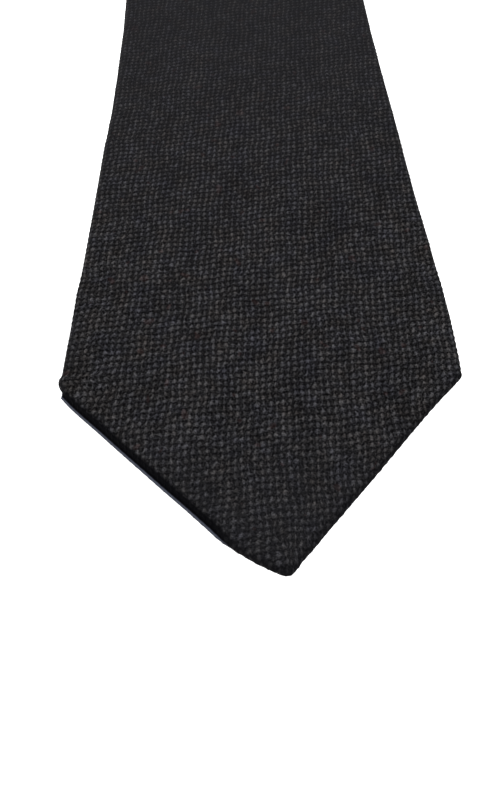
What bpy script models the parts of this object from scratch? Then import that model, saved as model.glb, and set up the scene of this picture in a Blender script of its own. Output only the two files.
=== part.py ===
# A necktie, folded once at the neck and laid flat: the tail face down underneath, the blade face up
# on top, and the blade's end flat on the surface in front of the tail. Metres, +Z up, the blade's
# point towards -Y. A place on the tie is (s, x, n): s along the tie from the blade's point, x across
# it, and n out of the cloth's face, from the middle of the thickness.

import math

import bmesh
import bpy
import numpy as np

# Cloth lengths, along the tie.
BLADE_PIECE = 0.690
NECK_PIECE = 0.390
TAIL_PIECE = 0.400
TIE_LENGTH = BLADE_PIECE + NECK_PIECE + TAIL_PIECE

# Widths, and the lengths over which the blade and the tail narrow to the neck.
BLADE_WIDTH = 0.082
NECK_WIDTH = 0.038
TAIL_WIDTH = 0.046
BLADE_TAPER = 0.580
TAIL_TAPER = 0.400
POINT_SLOPE = 1.0            # length of the point for each metre of half width: 1 is a square point
POINT_ROUND = 0.0012

# Layers.
THICKNESS = 0.0040
TIP_THICKNESS = 0.0030
CLOTH = 0.00055
SATIN = 0.00025
LAYER_GAP = 0.00015          # between layers that lie on each other
PIECE_GAP = 0.0003           # between pieces that meet edge to edge
FLAP_GAP = 0.0003            # between the two flaps where one lies over the other

# The back: hems, flaps, bar tacks and the seam between the flaps.
HEM = 0.0078
KITE_MARGIN = 0.0050         # from the side roll to the widest place of the lining's opening
OVER_FLAP_EDGE = -0.0030     # the flap that lies on top ends here
UNDER_FLAP_EDGE = 0.0050     # the flap beneath it ends here
STEP_START = 0.011           # how far from its edge the lower flap begins to rise to the outer level
STEP_END = 0.019
BLADE_TACK = 0.150
TAIL_TACK = 0.075
LAYERS = (0.40, 0.87)        # where the stack of layers thickens, in shares of the way to the tack
TRIM_RAMP = (0.08, 0.87)     # where the blade's end lifts to make room for its trim, the same way
LINING_PAST_TACK = 0.009
SEAM_RAMP = 0.090            # length over which the grid turns from square to the bias seam's slant
THREAD_RADIUS = 0.00018
THREAD_PAST_TACK = 0.004
TACK_LENGTH = 0.011
TACK_WIDTH = 0.001
WOOL_INSET = 0.0006          # from the point's fold to the interlining's point
SATIN_INSET = 0.0012

# Trim on the blade's back.
LABEL_AFTER_TACK = 0.008
LABEL_LENGTH = 0.018
LABEL_WIDTH = 0.046
LABEL_THICKNESS = 0.00030
LOOP_AFTER_LABEL = 0.008
LOOP_HEIGHT = 0.012
LOOP_WIDTH = 0.044
LOOP_THICKNESS = 0.00085
TAG_AFTER_LOOP = 0.009
TAG_LENGTH = 0.024
TAG_WIDTH = 0.010
TAG_THICKNESS = 0.00030
TAG_BESIDE_LOOP = 0.0015
TRIM_GAP = 0.00012           # between the back and what is sewn on it
STITCH_SIZE = 0.00045
STITCH_GAP = 0.0002          # from a piece's edge to the stitches beside it
STITCH_INSET = 0.001         # from a piece's corner to the first stitch

# How it lies.
TRIM_ROOM = 0.0012           # the blade's end is lifted this much by its label and loop
LAY_GAP = 0.0006             # between the tail and the blade that lies on it
TURN_LENGTH = 0.018          # where the blade's end turns up, and where it slopes down off the tail
TURN_AFTER_TAG = 0.010
TAIL_CLEAR = 0.034           # from that slope to the tail's point
FOLD_RADIUS = 0.0066         # outside of the neck fold
NECK_SLOPE = 0.082           # length over which the blade rises to the neck fold

labelStart = BLADE_TACK + LABEL_AFTER_TACK
labelEnd = labelStart + LABEL_LENGTH
loopStart = labelEnd + LOOP_AFTER_LABEL
loopEnd = loopStart + LOOP_HEIGHT
tagSeam = loopEnd + TAG_AFTER_LOOP
tagCentre = LOOP_WIDTH / 2.0 + TAG_BESIDE_LOOP + TAG_WIDTH / 2.0
turnStart = tagSeam + TURN_AFTER_TAG
turnEnd = turnStart + TURN_LENGTH
foldMiddle = FOLD_RADIUS - THICKNESS / 2.0
foldLength = math.pi * foldMiddle
tailSetback = turnEnd + TAIL_CLEAR
foldStart = (TIE_LENGTH - foldLength + tailSetback) / 2.0
foldEnd = foldStart + foldLength
foldCutUpper = foldStart + foldLength * 0.25     # the fold's three lengths: an eighth turn on the
foldCutLower = foldStart + foldLength * 0.75     # blade, a quarter turn between, an eighth on the tail
bladeSeam = BLADE_PIECE
tailSeam = BLADE_PIECE + NECK_PIECE
layHeight = THICKNESS + LAY_GAP
flapDrop = CLOTH + FLAP_GAP


def smooth(value, start, end):
    f = min(max((value - start) / (end - start), 0.0), 1.0)
    return f * f * (3.0 - 2.0 * f)


def blend(first, second, f):
    return first + (second - first) * min(max(f, 0.0), 1.0)


def halfWidth(s):
    bladeShoulder = BLADE_WIDTH / 2.0 * POINT_SLOPE
    tailShoulder = TIE_LENGTH - TAIL_WIDTH / 2.0 * POINT_SLOPE
    blade = blend(BLADE_WIDTH, NECK_WIDTH, (s - bladeShoulder) / BLADE_TAPER)
    tail = blend(TAIL_WIDTH, NECK_WIDTH, (tailShoulder - s) / TAIL_TAPER)
    return max(blade, tail) / 2.0


def layers(s):
    """Share of the full stack of layers at s: 0 at the points, 1 where the flaps overlap."""
    return smooth(s / BLADE_TACK, *LAYERS) * smooth((TIE_LENGTH - s) / TAIL_TACK, *LAYERS)


def thickness(s):
    return blend(TIP_THICKNESS, THICKNESS, layers(s))


def backHeight(s):
    lift = TRIM_ROOM * smooth(s / BLADE_TACK, *TRIM_RAMP)
    onTail = (layHeight - TRIM_ROOM) * smooth(s, turnStart, turnEnd)
    toFold = (2.0 * FOLD_RADIUS - THICKNESS - layHeight) * smooth(s, foldStart - NECK_SLOPE, foldStart)
    return lift + onTail + toFold


pathS = np.linspace(0.0, foldStart, 6000)
pathZ = np.array([backHeight(s) + thickness(s) / 2.0 for s in pathS])
pathAngle = np.arcsin(np.gradient(pathZ, pathS))
pathRun = np.cumsum(np.cos(pathAngle)) * (pathS[1] - pathS[0])
bladeReach = float(pathRun[-1])
pointInset = TIP_THICKNESS / 2.0 * (math.hypot(1.0, POINT_SLOPE) - 1.0)
yStart = -(pointInset + bladeReach + FOLD_RADIUS) / 2.0
foldY = yStart + bladeReach


def place(s, x, n):
    """The world point at (s, x, n)."""
    if s >= foldEnd:
        return (x, foldY - (s - foldEnd), thickness(s) / 2.0 - n)
    if s > foldStart:
        turn = (s - foldStart) / foldMiddle
        reach = foldMiddle + n
        return (x, foldY + reach * math.sin(turn), FOLD_RADIUS + reach * math.cos(turn))
    y = yStart + float(np.interp(s, pathS, pathRun))
    z = float(np.interp(s, pathS, pathZ))
    angle = float(np.interp(s, pathS, pathAngle))
    return (x, y - n * math.sin(angle), z + n * math.cos(angle))


def onFace(s):
    return place(s, 0.0, thickness(s) / 2.0)


# Each row of a grid is (q, slant): s is q plus slant times the girth from the middle of the face.

def along(row, girth):
    q, slant = row
    return q + slant * girth


def bladeSeamSlant(q):
    return 1.0 - smooth(abs(q - bladeSeam), 0.0, SEAM_RAMP)


def tailSeamSlant(q):
    return 1.0 - smooth(abs(q - tailSeam), 0.0, SEAM_RAMP)


def spread(start, end, spacing):
    count = max(1, round((end - start) / spacing))
    return [start + (end - start) * i / count for i in range(count + 1)]


def seamRows(start, end):
    """Rows for one length of the tie, closer where a bias seam turns the grid or the tie bends."""
    bends = [(bladeSeam - SEAM_RAMP, bladeSeam + SEAM_RAMP, 0.018),
             (tailSeam - SEAM_RAMP, tailSeam + SEAM_RAMP, 0.018),
             (turnStart, turnEnd, 0.003),
             (foldStart - NECK_SLOPE, foldStart, 0.012),
             (foldStart, foldEnd, 0.0013)]
    marks = sorted({start, end, *(mark for bend in bends for mark in bend[:2] if start < mark < end)})
    stations = []
    for first, second in zip(marks, marks[1:]):
        middle = (first + second) / 2.0
        spacing = min([bend[2] for bend in bends if bend[0] < middle < bend[1]], default=0.060)
        stations += spread(first, second, spacing)[:-1]
    stations.append(end)
    return [(q, bladeSeamSlant(q) + tailSeamSlant(q)) for q in stations]


def straight(rows):
    """The same rows without the slant, for pieces that run on past the bias seams."""
    return [(q, 0.0) for q, slant in rows]


# Solids from grids.

def solid(name, grids, strips, colour, roughness, owner, sheen=0.0):
    """One closed mesh from vertex grids joined by strips of quads, on its body's empty."""
    mesh = bpy.data.meshes.new(name)
    bm = bmesh.new()
    origin = owner["at"]
    made = []
    for grid in grids:
        made.append([[bm.verts.new([p - o for p, o in zip(point, origin)]) for point in line]
                     for line in grid])
    for grid in made:
        for lower, upper in zip(grid, grid[1:]):
            for j in range(len(lower) - 1):
                bm.faces.new((lower[j], lower[j + 1], upper[j + 1], upper[j]))
    for first, second in strips(made):
        for j in range(len(first) - 1):
            bm.faces.new((first[j], first[j + 1], second[j + 1], second[j]))
    bmesh.ops.recalc_face_normals(bm, faces=bm.faces)
    for face in bm.faces:
        face.smooth = True
    bm.to_mesh(mesh)
    bm.free()
    mesh.set_sharp_from_angle(angle=math.radians(35.0))
    thing = bpy.data.objects.new(name, mesh)
    thing.parent = owner["empty"]
    bpy.context.scene.collection.objects.link(thing)
    finish = bpy.data.materials.new(name)
    finish.use_nodes = True
    shader = finish.node_tree.nodes["Principled BSDF"]
    shader.inputs["Base Color"].default_value = (*colour, 1.0)
    shader.inputs["Roughness"].default_value = roughness
    shader.inputs["Metallic"].default_value = 0.0
    shader.inputs["Sheen Weight"].default_value = sheen
    mesh.materials.append(finish)
    return thing


def sandwich(made):
    """Strips that close two grids of the same shape all the way round."""
    top, bottom = made
    yield top[0], bottom[0]
    yield top[-1], bottom[-1]
    yield [line[0] for line in top], [line[0] for line in bottom]
    yield [line[-1] for line in top], [line[-1] for line in bottom]


def slab(name, rows, columns, low, high, finish, owner, point=None):
    """A flat layer: columns(s) gives its x values, low(s) and high(s) its two faces."""
    top = []
    bottom = []
    for q, slant in rows:
        for line, level in ((top, high), (bottom, low)):
            points = []
            for x in columns(q):
                s = point(q, x) if point else q
                points.append(place(s, x, level(s)))
            line.append(points)
    return solid(name, (top, bottom), sandwich, owner=owner, **finish)


FACE_SHARES = (-1.0, -0.75, -0.5, -0.25, 0.0, 0.25, 0.5, 0.75, 1.0)
POINT_SHARES = (-1.0, -0.8, -0.6, -0.4, -0.22, -0.10, -0.04, -0.015, 0.0,
                0.015, 0.04, 0.10, 0.22, 0.4, 0.6, 0.8, 1.0)
ROLL_STEPS = 6
FLAP_STOPS = [(blend(STEP_START, STEP_END, f), share)
              for f, share in ((1.0, 0.80), (0.66, 0.65), (0.34, 0.50), (0.0, 0.35))] + [(0.0, 0.0)]


def flapColumns(width):
    """Distances from a flap's free edge, from the roll inwards."""
    return [min(distance, width * share) for distance, share in FLAP_STOPS]


def flapLevel(s, distance, under):
    """How far a flap's outside lies inside the tie's back surface."""
    if not under:
        return 0.0
    return flapDrop * layers(s) * (1.0 - smooth(distance, STEP_START, STEP_END))


def profile(s, skin):
    """Places (x, n, girth) round the shell from the lower flap's edge to the upper flap's edge."""
    half = thickness(s) / 2.0
    inset = CLOTH if skin == "inner" else 0.0
    core = halfWidth(s) - half
    radius = half - inset
    right = []
    left = []
    for edge, under, line in ((OVER_FLAP_EDGE, False, right), (UNDER_FLAP_EDGE, True, left)):
        for k in range(1, ROLL_STEPS + 1):
            turn = math.pi * k / ROLL_STEPS
            line.append((core + radius * math.sin(turn), radius * math.cos(turn), core + turn * half))
        free = -edge if under else edge
        for distance in flapColumns(core - free):
            x = free + distance
            n = -radius + flapLevel(s, distance, under)
            line.append((x, n, core + math.pi * half + core - x))
    points = [(-x, n, -girth) for x, n, girth in reversed(left)]
    points += [(core * share, radius, core * share) for share in FACE_SHARES]
    return points + right


def tube(name, rows, finish, owner):
    """A length of shell, open at both ends."""
    grids = []
    for skin in ("outer", "inner"):
        grid = []
        for row in rows:
            grid.append([place(along(row, girth), x, n) for x, n, girth in profile(row[0], skin)])
        grids.append(grid)
    return solid(name, grids, sandwich, owner=owner, **finish)


class Point:
    """The sizes of one pointed end. t is the distance from the end's own point."""

    def __init__(self, width, tack, fromBlade):
        self.fromBlade = fromBlade
        self.half = TIP_THICKNESS / 2.0
        self.core = width / 2.0 - self.half
        self.slant = math.hypot(1.0, POINT_SLOPE)
        self.start = self.half * self.slant
        self.fade = width * 1.2
        self.tack = tack
        self.kiteHalf = self.core - KITE_MARGIN
        self.corner = self.start + self.edge(self.core)
        self.hemBottom = self.start + HEM * self.slant
        self.kiteCorner = self.hemBottom + self.edge(self.kiteHalf)

    def edge(self, x):
        return POINT_SLOPE * (math.hypot(x, POINT_ROUND) - POINT_ROUND)

    def edgeNormal(self, x):
        slope = POINT_SLOPE * x / math.hypot(x, POINT_ROUND)
        size = math.hypot(1.0, slope)
        return slope / size, -1.0 / size

    def chevron(self, q, x):
        return q + (1.0 - smooth(q, 0.0, self.fade)) * self.edge(x)

    def toPath(self, t):
        return t if self.fromBlade else TIE_LENGTH - t

    def openEdge(self, t, under):
        f = (t - self.kiteCorner) / (self.tack - self.kiteCorner)
        end = -UNDER_FLAP_EDGE if under else OVER_FLAP_EDGE
        return blend(self.kiteHalf, end, f)


def bag(name, point, stations, finish, owner, endSlant=None):
    """A pointed end of the shell: face, rolled edges, hem and flaps round the lining's opening."""

    def coreAt(t):
        s = point.toPath(t)
        return halfWidth(s) - thickness(s) / 2.0

    def faceAt(q, share):
        x = share * coreAt(max(q, point.corner))
        t = point.chevron(q, x)
        if endSlant:
            t += endSlant(q) * x
        return x, t

    def rimStop(x, t, normal, goal, scale=1.0):
        return {"base": (x, t), "normal": normal, "goal": goal, "scale": scale, "under": x < 0.0}

    rim = []
    sideStops = []
    for i, q in enumerate(stations):
        if i == 0:
            continue
        x, t = faceAt(q, 1.0)
        lag = (point.kiteCorner - point.corner) * (1.0 - smooth(t, point.corner, point.tack))
        sideStops.append((x, t, t + lag))
    for side in (-1, 1):
        stops = []
        for i, (x, t, goalT) in enumerate(sideStops):
            under = side < 0
            edge = point.openEdge(goalT, under)
            q = stations[i + 1]
            tHere = t
            if endSlant and under:
                tHere = t - 2.0 * endSlant(q) * x
            lean = endSlant(q) if endSlant else 0.0
            goal = tHere + (goalT - t)
            if endSlant:
                goal += side * lean * (math.pi * thickness(point.toPath(t)) / 2.0 + x - edge)
            stops.append(rimStop(side * x, tHere, (side, 0.0), (side * edge, goal)))
            stops[-1]["lean"] = side * lean
        rim.append(stops)
    first = []
    for share in POINT_SHARES:
        x, t = faceAt(stations[0], share)
        normal = point.edgeNormal(x)
        scale = 1.0
        goalX = x * point.kiteHalf / point.core
        goal = (goalX, point.hemBottom + point.edge(goalX))
        if abs(share) == 1.0:
            turn = math.atan2(normal[1], abs(normal[0])) / 2.0
            normal = (math.copysign(math.cos(turn), x), math.sin(turn))
            scale = 1.0 / math.cos(turn)
        first.append(rimStop(x, t, normal, goal, scale))
    rim = list(reversed(rim[0])) + first + rim[1]

    grids = []
    for skin in ("outer", "inner"):
        inset = CLOTH if skin == "inner" else 0.0
        face = []
        for q in stations:
            line = []
            for share in POINT_SHARES:
                x, t = faceAt(q, share)
                s = point.toPath(t)
                line.append(place(s, x, thickness(s) / 2.0 - inset))
            face.append(line)
        strip = []
        for stop in rim:
            line = []
            x0, t0 = stop["base"]
            lean = stop.get("lean", 0.0)
            s0 = point.toPath(t0)
            half = thickness(s0) / 2.0
            radius = half - inset
            for k in range(1, ROLL_STEPS + 1):
                turn = math.pi * k / ROLL_STEPS
                out = radius * math.sin(turn) * stop["scale"]
                t = t0 + out * stop["normal"][1] + lean * turn * half
                line.append(place(point.toPath(t), x0 + out * stop["normal"][0], radius * math.cos(turn)))
            t0 += lean * math.pi * half
            goal = stop["goal"]
            width = math.hypot(goal[0] - x0, goal[1] - t0)
            for distance in flapColumns(width):
                f = 1.0 - distance / width
                x = x0 + (goal[0] - x0) * f
                t = t0 + (goal[1] - t0) * f
                s = point.toPath(t)
                n = -(thickness(s) / 2.0 - inset) + flapLevel(s, distance, stop["under"])
                line.append(place(s, x, n))
            strip.append(line)
        grids += [face, strip]

    def strips(made):
        edges = []
        for face, strip in ((made[0], made[1]), (made[2], made[3])):
            left = [line[0] for line in reversed(face[1:])]
            right = [line[-1] for line in face[1:]]
            rimLine = left + face[0] + right
            edges.append((rimLine, face, strip))
            yield rimLine, [line[0] for line in strip]
        (outRim, outFace, outStrip), (inRim, inFace, inStrip) = edges
        yield [line[-1] for line in outStrip], [line[-1] for line in inStrip]
        yield outFace[-1], inFace[-1]
        for end in (0, -1):
            yield [outRim[end]] + outStrip[end], [inRim[end]] + inStrip[end]

    return solid(name, grids, strips, owner=owner, **finish)


def thread(name, rows, finish, owner):
    """A length of the slip stitch, in the step beside the upper flap's edge."""
    sides = 6
    x0 = OVER_FLAP_EDGE - THREAD_RADIUS - STITCH_GAP
    rings = []
    for q, slant in rows:
        ring = []
        for k in range(sides):
            turn = math.tau * k / sides
            n = -thickness(q) / 2.0 + flapDrop / 2.0 + THREAD_RADIUS * math.sin(turn)
            ring.append(place(q, x0 + THREAD_RADIUS * math.cos(turn), n))
        rings.append(ring)

    def close(made):
        grid = made[0]
        yield [ring[-1] for ring in grid], [ring[0] for ring in grid]
        for ring in (grid[0], grid[-1]):
            yield ring[0:3], [ring[5], ring[4], ring[3]]

    return solid(name, (rings,), close, owner=owner, **finish)


def trim(name, start, end, left, right, depth, size, finish, owner):
    """A flat rectangle sewn on the back: depth is its gap to the back, size its thickness."""

    def low(s):
        return -thickness(s) / 2.0 - depth - size

    def high(s):
        return -thickness(s) / 2.0 - depth

    rows = [(q, 0.0) for q in spread(start, end, 0.006)]
    return slab(name, rows, lambda q: (left, (left + right) / 2.0, right), low, high, finish, owner)


# Finishes.
SHELL = {"colour": (0.022, 0.022, 0.024), "roughness": 0.85, "sheen": 0.25}
WOOL = {"colour": (0.62, 0.58, 0.50), "roughness": 0.95}
SATIN_LINING = {"colour": (0.012, 0.012, 0.016), "roughness": 0.38}
THREAD = {"colour": (0.010, 0.010, 0.011), "roughness": 0.60}
LABEL = {"colour": (0.030, 0.030, 0.034), "roughness": 0.45}
TAG = {"colour": (0.80, 0.80, 0.78), "roughness": 0.50}

for leftover in list(bpy.data.objects):
    bpy.data.objects.remove(leftover, do_unlink=True)


# Bodies: the tail lies still, and each next body hangs on the one before it.

def body(name, at, parent=None):
    empty = bpy.data.objects.new(name, None)
    empty.empty_display_size = 0.01
    bpy.context.scene.collection.objects.link(empty)
    if parent:
        empty.parent = parent["empty"]
        empty.location = [a - b for a, b in zip(at, parent["at"])]
    else:
        empty.location = at
    return {"empty": empty, "at": at}


tail = body("tail_body", (0.0, 0.0, 0.0))
fold = body("neck_fold_body", onFace(foldCutLower), tail)
upper = body("blade_upper_body", onFace(foldCutUpper), fold)
turn = body("blade_turn_body", onFace(turnEnd), upper)
lower = body("blade_lower_body", onFace(turnStart), turn)
back = -THICKNESS / 2.0 - TRIM_GAP
keeper = body("keeper_body", place((loopStart + loopEnd) / 2.0, 0.0, back - LOOP_THICKNESS / 2.0), lower)
tagBody = body("tag_body", place(tagSeam, tagCentre, back - TAG_THICKNESS / 2.0), lower)

halfGap = PIECE_GAP / 2.0
lowerEnd = turnStart - halfGap
turnLength = (turnStart + halfGap, turnEnd - halfGap)
upperLength = (turnEnd + halfGap, foldCutUpper - halfGap)
foldPiece = (foldCutUpper + halfGap, foldCutLower - halfGap)
tailTop = foldCutLower + halfGap

bladePoint = Point(BLADE_WIDTH, BLADE_TACK, True)
tailPoint = Point(TAIL_WIDTH, TAIL_TACK, False)
seamGap = PIECE_GAP / math.sqrt(2.0)

# Outer shell.
bladeStations = [bladePoint.start]
bladeStations += [BLADE_TACK * f for f in (0.09, 0.19, 0.3, 0.43, 0.57, 0.7, 0.8, 0.9, 1.0)]
bladeStations += spread(BLADE_TACK, lowerEnd, 0.022)[1:]
bag("blade_shell_lower", bladePoint, bladeStations, SHELL, lower)
tube("blade_turn_shell", seamRows(*turnLength), SHELL, turn)
tube("blade_shell_upper", seamRows(upperLength[0], bladeSeam - seamGap), SHELL, upper)
tube("neck_shell_upper", seamRows(bladeSeam + seamGap, upperLength[1]), SHELL, upper)
tube("neck_fold_shell", seamRows(*foldPiece), SHELL, fold)
tube("neck_shell_lower", seamRows(tailTop, tailSeam - seamGap), SHELL, tail)
tailStations = [tailPoint.start] + [TAIL_TACK * f for f in (0.12, 0.24, 0.4, 0.56, 0.7, 0.85, 1.0)]
tailSeamT = TIE_LENGTH - tailSeam - seamGap
tailStations += spread(TAIL_TACK, tailSeamT - SEAM_RAMP, 0.060)[1:]
tailStations += spread(tailSeamT - SEAM_RAMP, tailSeamT, 0.018)[1:]
bag("tail_shell", tailPoint, tailStations, SHELL, tail,
    endSlant=lambda q: -tailSeamSlant(TIE_LENGTH - q))


# Wool interlining, one length in each body.

def woolLow(s):
    return -thickness(s) / 2.0 + CLOTH + 2.0 * LAYER_GAP + SATIN + flapDrop * layers(s)


def woolHigh(s):
    return thickness(s) / 2.0 - CLOTH - LAYER_GAP


def woolColumns(q):
    core = halfWidth(q) - thickness(q) / 2.0
    return [core * share for share in FACE_SHARES[::2]]


def pointedLayer(name, point, stations, low, high, inset, finish, owner):
    """A flat layer that ends in a point inside the shell's point."""

    def columns(q):
        t = max(q, point.corner)
        core = halfWidth(point.toPath(t)) - thickness(point.toPath(t)) / 2.0 - inset
        return [core * share for share in POINT_SHARES]

    rows = [(point.toPath(q), 0.0) for q in stations]

    def columnsOnPath(s):
        return columns(s if point.fromBlade else TIE_LENGTH - s)

    def onPath(s, x):
        q = s if point.fromBlade else TIE_LENGTH - s
        return point.toPath(point.chevron(q, x))

    return slab(name, rows, columnsOnPath, low, high, finish, owner, point=onPath)


pointedLayer("interlining_blade_lower", bladePoint, [bladePoint.start + WOOL_INSET] + bladeStations[1:],
             woolLow, woolHigh, 0.0, WOOL, lower)
for name, owner, ends in (("turn", turn, turnLength), ("upper", upper, upperLength),
                          ("fold", fold, foldPiece)):
    slab(f"interlining_{name}", straight(seamRows(*ends)), woolColumns, woolLow, woolHigh, WOOL, owner)
tailWool = [TIE_LENGTH - q for q, slant in seamRows(tailTop, TIE_LENGTH - TAIL_TACK)][::-1]
tailWool = [tailPoint.start + WOOL_INSET] + [q for q in tailStations[1:] if q < TAIL_TACK] + tailWool
pointedLayer("interlining_tail", tailPoint, tailWool, woolLow, woolHigh, 0.0, WOOL, tail)


# Satin lining behind each point.

def satinLow(s):
    return -thickness(s) / 2.0 + CLOTH + LAYER_GAP + flapDrop * layers(s)


def satinHigh(s):
    return satinLow(s) + SATIN


for name, point, stations, owner in (("blade_lining", bladePoint, bladeStations, lower),
                                     ("tail_lining", tailPoint, tailStations, tail)):
    end = point.tack + LINING_PAST_TACK
    kept = [point.start + SATIN_INSET] + [q for q in stations[1:] if q <= point.tack] + [end]
    pointedLayer(name, point, kept, satinLow, satinHigh, SATIN_INSET, SATIN_LINING, owner)


# Stitching.
threadStart = BLADE_TACK + THREAD_PAST_TACK
threadEnd = TIE_LENGTH - TAIL_TACK - THREAD_PAST_TACK
for name, owner, ends in (("blade_lower", lower, (threadStart, lowerEnd)), ("turn", turn, turnLength),
                          ("upper", upper, upperLength), ("fold", fold, foldPiece),
                          ("tail", tail, (tailTop, threadEnd))):
    thread(f"slip_stitch_{name}", straight(seamRows(*ends)), THREAD, owner)
for name, at, owner in (("blade", BLADE_TACK, lower), ("tail", TIE_LENGTH - TAIL_TACK, tail)):
    trim(f"bar_tack_{name}", at - TACK_WIDTH / 2.0, at + TACK_WIDTH / 2.0, OVER_FLAP_EDGE - TACK_LENGTH * 0.6,
         OVER_FLAP_EDGE + TACK_LENGTH * 0.4, TRIM_GAP, STITCH_SIZE, THREAD, owner)

# Label, keeper loop and tag, each with the stitches that hold it.
trim("label", labelStart, labelEnd, -LABEL_WIDTH / 2.0, LABEL_WIDTH / 2.0,
     TRIM_GAP, LABEL_THICKNESS, LABEL, lower)
trim("keeper_loop", loopStart, loopEnd, -LOOP_WIDTH / 2.0, LOOP_WIDTH / 2.0,
     TRIM_GAP, LOOP_THICKNESS, SHELL, keeper)
trim("content_tag", tagSeam - TAG_LENGTH, tagSeam, tagCentre - TAG_WIDTH / 2.0,
     tagCentre + TAG_WIDTH / 2.0, TRIM_GAP, TAG_THICKNESS, TAG, tagBody)
for side, word in ((-1, "left"), (1, "right")):
    for piece, start, end, width in (("label", labelStart, labelEnd, LABEL_WIDTH),
                                     ("keeper_loop", loopStart, loopEnd, LOOP_WIDTH)):
        inner = side * (width / 2.0 + STITCH_GAP)
        outer = inner + side * STITCH_SIZE
        trim(f"{piece}_stitch_{word}", start + STITCH_INSET, end - STITCH_INSET, min(inner, outer),
             max(inner, outer), TRIM_GAP, STITCH_SIZE, THREAD, lower)
tagStitch = tagSeam - STITCH_INSET
trim("content_tag_stitch", tagStitch - STITCH_SIZE, tagStitch, tagCentre - TAG_WIDTH / 2.0,
     tagCentre + TAG_WIDTH / 2.0, 2.0 * TRIM_GAP + TAG_THICKNESS, STITCH_SIZE, THREAD, tagBody)
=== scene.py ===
# A dark necktie cut on the bias, folded once at the neck and laid flat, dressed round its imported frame.
# Everything is in metres. A place on the tie is (s, x, n): s along it from the blade's point,
# x across it, n out of the cloth's face from the middle of the thickness.
import math

import bmesh
import bpy
import numpy as np
from mathutils import Matrix, Vector


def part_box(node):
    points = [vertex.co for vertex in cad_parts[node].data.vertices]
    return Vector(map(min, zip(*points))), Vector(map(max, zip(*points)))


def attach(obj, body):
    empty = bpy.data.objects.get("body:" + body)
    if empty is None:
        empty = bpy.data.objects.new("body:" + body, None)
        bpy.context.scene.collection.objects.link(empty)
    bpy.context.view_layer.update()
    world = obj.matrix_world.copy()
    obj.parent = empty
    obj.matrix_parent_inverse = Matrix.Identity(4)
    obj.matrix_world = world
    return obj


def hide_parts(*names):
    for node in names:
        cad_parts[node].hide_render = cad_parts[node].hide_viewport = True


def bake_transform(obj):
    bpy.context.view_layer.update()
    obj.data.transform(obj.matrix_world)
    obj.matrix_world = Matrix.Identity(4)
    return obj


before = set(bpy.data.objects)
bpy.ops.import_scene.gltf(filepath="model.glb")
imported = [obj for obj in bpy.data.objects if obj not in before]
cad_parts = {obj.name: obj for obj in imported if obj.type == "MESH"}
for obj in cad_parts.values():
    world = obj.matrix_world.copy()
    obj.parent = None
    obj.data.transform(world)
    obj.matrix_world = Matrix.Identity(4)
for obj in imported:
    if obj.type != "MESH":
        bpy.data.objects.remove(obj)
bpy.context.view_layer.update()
print("frame loaded")

tieShape = {
    "length": 1.48,
    "bladeWidth": 0.082, "neckWidth": 0.038, "tailWidth": 0.046,
    "bladeTaper": 0.580, "tailTaper": 0.400,      # lengths over which each end narrows to the neck
    "bladeSeam": 0.690, "tailSeam": 1.080, "seamRamp": 0.090,
    "thickness": 0.0040, "tipThickness": 0.0030,
    "cloth": 0.00055, "flapDrop": 0.00085,        # cloth, and how deep the lower flap lies
    "bladeTack": 0.150, "tailTack": 0.075,
    "layers": (0.40, 0.87), "trimRamp": (0.08, 0.87), "trimRoom": 0.0012, "layGap": 0.0006,
    "turnStart": 0.215, "turnEnd": 0.233, "tailClear": 0.034,
    "foldRadius": 0.0066, "neckSlope": 0.082,
    "hem": 0.0078, "kiteMargin": 0.0050, "overFlap": -0.0030, "underFlap": 0.0050,
    "stepStart": 0.011, "stepEnd": 0.019, "pointRound": 0.0012,
}
length = tieShape["length"]
thick = tieShape["thickness"]
foldRadius = tieShape["foldRadius"]
foldMiddle = foldRadius - thick / 2
foldLength = math.pi * foldMiddle
foldStart = (length - foldLength + tieShape["turnEnd"] + tieShape["tailClear"]) / 2
foldEnd = foldStart + foldLength
turnMiddle = (tieShape["turnStart"] + tieShape["turnEnd"]) / 2
foldCentre = (foldStart + foldEnd) / 2


def smooth(value, start, end):
    f = np.clip((value - start) / (end - start), 0, 1)
    return f * f * (3 - 2 * f)


def between(first, second, f):
    return first + (second - first) * np.clip(f, 0, 1)


def halfWidth(s):
    blade = between(tieShape["bladeWidth"], tieShape["neckWidth"],
                    (s - tieShape["bladeWidth"] / 2) / tieShape["bladeTaper"])
    tail = between(tieShape["tailWidth"], tieShape["neckWidth"],
                   (length - tieShape["tailWidth"] / 2 - s) / tieShape["tailTaper"])
    return np.maximum(blade, tail) / 2


def layerShare(s):
    return (smooth(s / tieShape["bladeTack"], *tieShape["layers"])
            * smooth((length - s) / tieShape["tailTack"], *tieShape["layers"]))


def thickness(s):
    return between(tieShape["tipThickness"], thick, layerShare(s))


layHeight = thick + tieShape["layGap"]
pathS = np.linspace(0, foldStart, 6000)
slopeStart = foldStart - tieShape["neckSlope"]
backHeight = (tieShape["trimRoom"] * smooth(pathS / tieShape["bladeTack"], *tieShape["trimRamp"])
              + (layHeight - tieShape["trimRoom"]) * smooth(pathS, tieShape["turnStart"], tieShape["turnEnd"])
              + (2 * foldRadius - thick - layHeight) * smooth(pathS, slopeStart, foldStart))
pathZ = backHeight + thickness(pathS) / 2
pathAngle = np.arcsin(np.gradient(pathZ, pathS))
pathRun = np.cumsum(np.cos(pathAngle)) * (pathS[1] - pathS[0])
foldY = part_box("neck_fold_shell")[1].y - foldRadius
yStart = foldY - float(pathRun[-1])
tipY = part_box("blade_shell_lower")[0].y


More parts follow.
